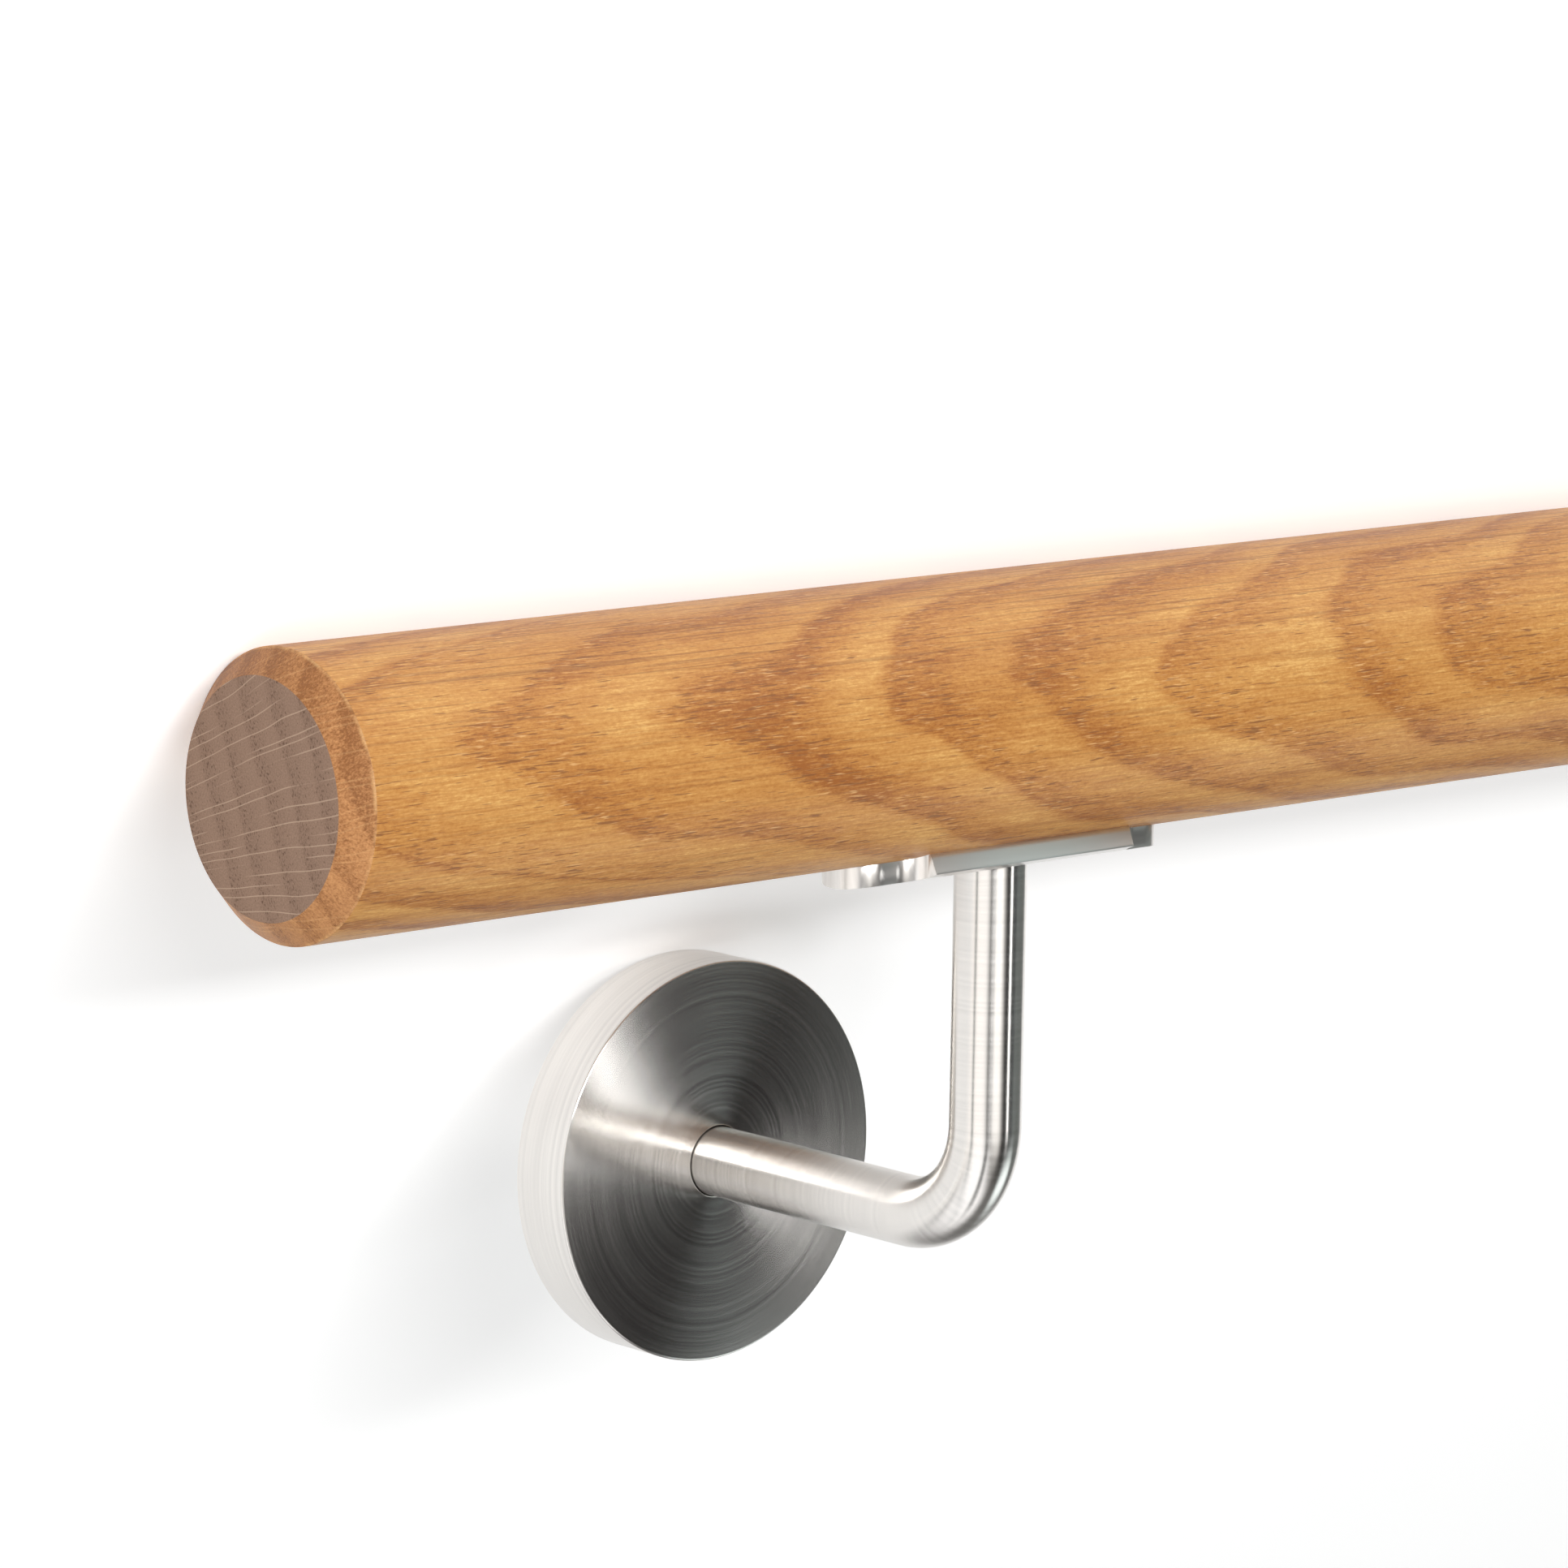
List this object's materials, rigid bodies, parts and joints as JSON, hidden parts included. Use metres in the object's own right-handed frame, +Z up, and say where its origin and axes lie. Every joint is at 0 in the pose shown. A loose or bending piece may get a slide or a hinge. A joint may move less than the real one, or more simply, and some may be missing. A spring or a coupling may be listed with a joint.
{
  "type": "stair handrail length",
  "caption": "Round oak stair handrail with chamfered ends, on bent stainless steel wall brackets with curved saddle plates and round cover rosettes.",
  "frame": {"origin": "on the floor below the middle of the box round the part, as it lies unheld", "axes": "+X along the rail from the near end in the picture to the far one, +Z up from the floor, +Y across it from the rosettes to the rail"},
  "size_m": [1, 0.1651, 0.0797],
  "materials": {
    "oak": "satin",
    "stainless": "satin",
    "screw_steel": "satin"
  },
  "bodies": {
    "root": {"rail": "oak", "left_saddle_plate": "stainless", "left_support_rod": "stainless", "left_wall_flange": "stainless", "left_cover_rosette": "stainless", "left_end_screw": "screw_steel", "left_inner_screw": "screw_steel", "right_saddle_plate": "stainless", "right_support_rod": "stainless", "right_wall_flange": "stainless", "right_cover_rosette": "stainless", "right_end_screw": "screw_steel", "right_inner_screw": "screw_steel"}
  },
  "joints": []
}
